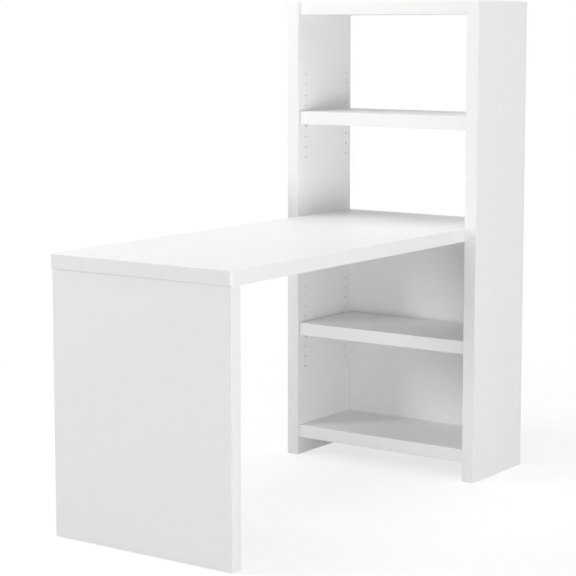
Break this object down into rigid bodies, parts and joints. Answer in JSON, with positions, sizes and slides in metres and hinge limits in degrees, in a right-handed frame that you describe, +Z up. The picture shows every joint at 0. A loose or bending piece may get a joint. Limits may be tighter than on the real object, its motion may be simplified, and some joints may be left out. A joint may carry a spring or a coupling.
{
  "type": "bookcase desk",
  "caption": "White slab desk whose long desktop passes through an open bookcase and ends on a panel leg, with loose shelves on pins above and below it.",
  "frame": {"origin": "on the floor, at the middle of the overall width and length, levellers screwed right in", "axes": "+X across the bookcase, to the right seen from the desk's free end; +Y along the desktop, from its free end to the bookcase's back; +Z up"},
  "size_m": [0.67, 1.4288, 1.415],
  "materials": {
    "white_board": "particle board faced with satin white laminate",
    "white_edge": "white plastic edge band, satin, softly rounded",
    "back_sheet": "thin hardboard faced with white paper foil",
    "bright_steel": "zinc plated",
    "cast_zinc": "bare zinc die casting, close to iron in weight",
    "shelf_pin": "satin nickel plated",
    "beech": "bare fluted beech",
    "white_cap": "moulded white plastic",
    "grey_nylon": "moulded nylon"
  },
  "bodies": {
    "frame": {"left_side_panel": "white_board", "right_side_panel": "white_board", "top_panel": "white_board", "desktop": "white_board", "bottom_shelf": "white_board", "leg_panel": "white_board", "left_side_edge_bands": "white_edge", "right_side_edge_bands": "white_edge", "top_panel_edge_bands": "white_edge", "desktop_edge_bands": "white_edge", "bottom_shelf_edge_band": "white_edge", "leg_panel_edge_bands": "white_edge", "back_panel": "back_sheet", "top_cam_bolts": "bright_steel", "desktop_cam_bolts": "bright_steel", "bottom_cam_bolts": "bright_steel", "leg_cam_bolts": "bright_steel", "back_panel_nails": "bright_steel", "leveller_inserts": "bright_steel", "top_cam_locks": "cast_zinc", "desktop_cam_locks": "cast_zinc", "bottom_cam_locks": "cast_zinc", "leg_cam_locks": "cast_zinc", "upper_shelf_pins": "shelf_pin", "lower_shelf_pins": "shelf_pin", "top_dowels": "beech", "desktop_dowels": "beech", "bottom_dowels": "beech", "leg_dowels": "beech", "cam_caps": "white_cap"},
    "upper_shelf": {"upper_shelf": "white_board", "upper_shelf_edge_bands": "white_edge"},
    "lower_shelf": {"lower_shelf": "white_board", "lower_shelf_edge_bands": "white_edge"},
    "leveller_pad_left_front": {"leveller_pad_left_front": "grey_nylon"},
    "leveller_stud_left_front": {"leveller_stud_left_front": "bright_steel"},
    "leveller_pad_left_rear": {"leveller_pad_left_rear": "grey_nylon"},
    "leveller_stud_left_rear": {"leveller_stud_left_rear": "bright_steel"},
    "leveller_pad_leg_left": {"leveller_pad_leg_left": "grey_nylon"},
    "leveller_stud_leg_left": {"leveller_stud_leg_left": "bright_steel"},
    "leveller_pad_right_front": {"leveller_pad_right_front": "grey_nylon"},
    "leveller_stud_right_front": {"leveller_stud_right_front": "bright_steel"},
    "leveller_pad_right_rear": {"leveller_pad_right_rear": "grey_nylon"},
    "leveller_stud_right_rear": {"leveller_stud_right_rear": "bright_steel"},
    "leveller_pad_leg_right": {"leveller_pad_leg_right": "grey_nylon"},
    "leveller_stud_leg_right": {"leveller_stud_leg_right": "bright_steel"}
  },
  "joints": [
    {"name": "upper_shelf_lift", "type": "slide", "parent": "frame", "child": "upper_shelf", "axis": [0, 0, 1], "range_m": [0, 0.16]},
    {"name": "lower_shelf_lift", "type": "slide", "parent": "frame", "child": "lower_shelf", "axis": [0, 0, 1], "range_m": [0, 0.16]},
    {"name": "leveller_left_front_travel", "type": "slide", "parent": "frame", "child": "leveller_pad_left_front", "axis": [0, 0, -1], "range_m": [0, 0.01]},
    {"name": "leveller_left_front_turn", "type": "hinge", "parent": "leveller_pad_left_front", "child": "leveller_stud_left_front", "pos_m": [-0.3155, 0.4606, 0], "axis": [0, 0, -1], "range_deg": [0, 2880]},
    {"name": "leveller_left_rear_travel", "type": "slide", "parent": "frame", "child": "leveller_pad_left_rear", "axis": [0, 0, -1], "range_m": [0, 0.01]},
    {"name": "leveller_left_rear_turn", "type": "hinge", "parent": "leveller_pad_left_rear", "child": "leveller_stud_left_rear", "pos_m": [-0.3155, 0.6656, 0], "axis": [0, 0, -1], "range_deg": [0, 2880]},
    {"name": "leveller_leg_left_travel", "type": "slide", "parent": "frame", "child": "leveller_pad_leg_left", "axis": [0, 0, -1], "range_m": [0, 0.01]},
    {"name": "leveller_leg_left_turn", "type": "hinge", "parent": "leveller_pad_leg_left", "child": "leveller_stud_leg_left", "pos_m": [-0.2415, -0.6904, 0], "axis": [0, 0, -1], "range_deg": [0, 2880]},
    {"name": "leveller_right_front_travel", "type": "slide", "parent": "frame", "child": "leveller_pad_right_front", "axis": [0, 0, -1], "range_m": [0, 0.01]},
    {"name": "leveller_right_front_turn", "type": "hinge", "parent": "leveller_pad_right_front", "child": "leveller_stud_right_front", "pos_m": [0.3155, 0.4606, 0], "axis": [0, 0, -1], "range_deg": [0, 2880]},
    {"name": "leveller_right_rear_travel", "type": "slide", "parent": "frame", "child": "leveller_pad_right_rear", "axis": [0, 0, -1], "range_m": [0, 0.01]},
    {"name": "leveller_right_rear_turn", "type": "hinge", "parent": "leveller_pad_right_rear", "child": "leveller_stud_right_rear", "pos_m": [0.3155, 0.6656, 0], "axis": [0, 0, -1], "range_deg": [0, 2880]},
    {"name": "leveller_leg_right_travel", "type": "slide", "parent": "frame", "child": "leveller_pad_leg_right", "axis": [0, 0, -1], "range_m": [0, 0.01]},
    {"name": "leveller_leg_right_turn", "type": "hinge", "parent": "leveller_pad_leg_right", "child": "leveller_stud_leg_right", "pos_m": [0.2415, -0.6904, 0], "axis": [0, 0, -1], "range_deg": [0, 2880]}
  ],
  "couplings": [
    {"joint": "leveller_left_front_travel", "follows": "leveller_left_front_turn", "m_per_rad": 0.00019894},
    {"joint": "leveller_left_rear_travel", "follows": "leveller_left_rear_turn", "m_per_rad": 0.00019894},
    {"joint": "leveller_leg_left_travel", "follows": "leveller_leg_left_turn", "m_per_rad": 0.00019894},
    {"joint": "leveller_right_front_travel", "follows": "leveller_right_front_turn", "m_per_rad": 0.00019894},
    {"joint": "leveller_right_rear_travel", "follows": "leveller_right_rear_turn", "m_per_rad": 0.00019894},
    {"joint": "leveller_leg_right_travel", "follows": "leveller_leg_right_turn", "m_per_rad": 0.00019894}
  ]
}
